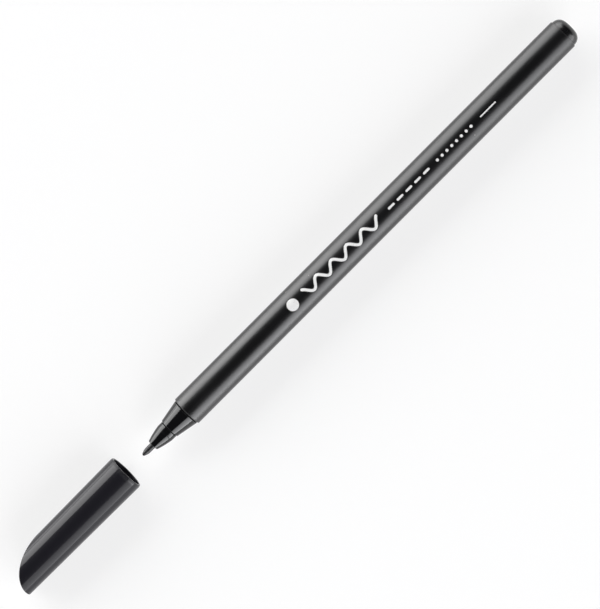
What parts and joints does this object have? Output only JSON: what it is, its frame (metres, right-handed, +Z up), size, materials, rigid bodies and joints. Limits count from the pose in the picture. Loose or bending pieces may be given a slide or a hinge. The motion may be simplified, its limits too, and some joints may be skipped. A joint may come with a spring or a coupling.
{
  "type": "fibre-tip pen",
  "caption": "Slim black fibre-tip writing pen with a round barrel, stepped nose cone, fine nib, rear plug and a pull-off cap with a slanted end, lying in line in front of the point.",
  "frame": {"origin": "on the surface that the pen lies on, under the middle of the whole length with the cap taken off and lying in line in front of the point", "axes": "+X along the pen's axis from the point to the rear plug, +Z up; the cap's slanted end faces -X and +Y, and its long side is on -Y"},
  "size_m": [0.1982, 0.01, 0.0101],
  "materials": {
    "barrel_satin": "satin black moulded plastic",
    "nose_gloss": "polished black moulded plastic",
    "plug_gloss": "polished black moulded plastic",
    "cap_gloss": "polished black moulded plastic",
    "seal": "soft dark moulded plastic",
    "nib_fibre": "bonded fibre soaked with black ink",
    "reservoir_fibre": "soft fibre bundle soaked with black ink",
    "film": "thin milky film"
  },
  "bodies": {
    "pen": {"barrel": "barrel_satin", "front_section": "nose_gloss", "nib_holder": "nose_gloss", "nib": "nib_fibre", "ink_reservoir": "reservoir_fibre", "reservoir_film": "film", "rear_plug": "plug_gloss"},
    "cap": {"cap_shell": "cap_gloss", "cap_inner_seal": "seal"}
  },
  "joints": [
    {"name": "cap_slide", "type": "slide", "parent": "pen", "child": "cap", "axis": [1, 0, 0], "range_m": [0, 0.03365]}
  ]
}
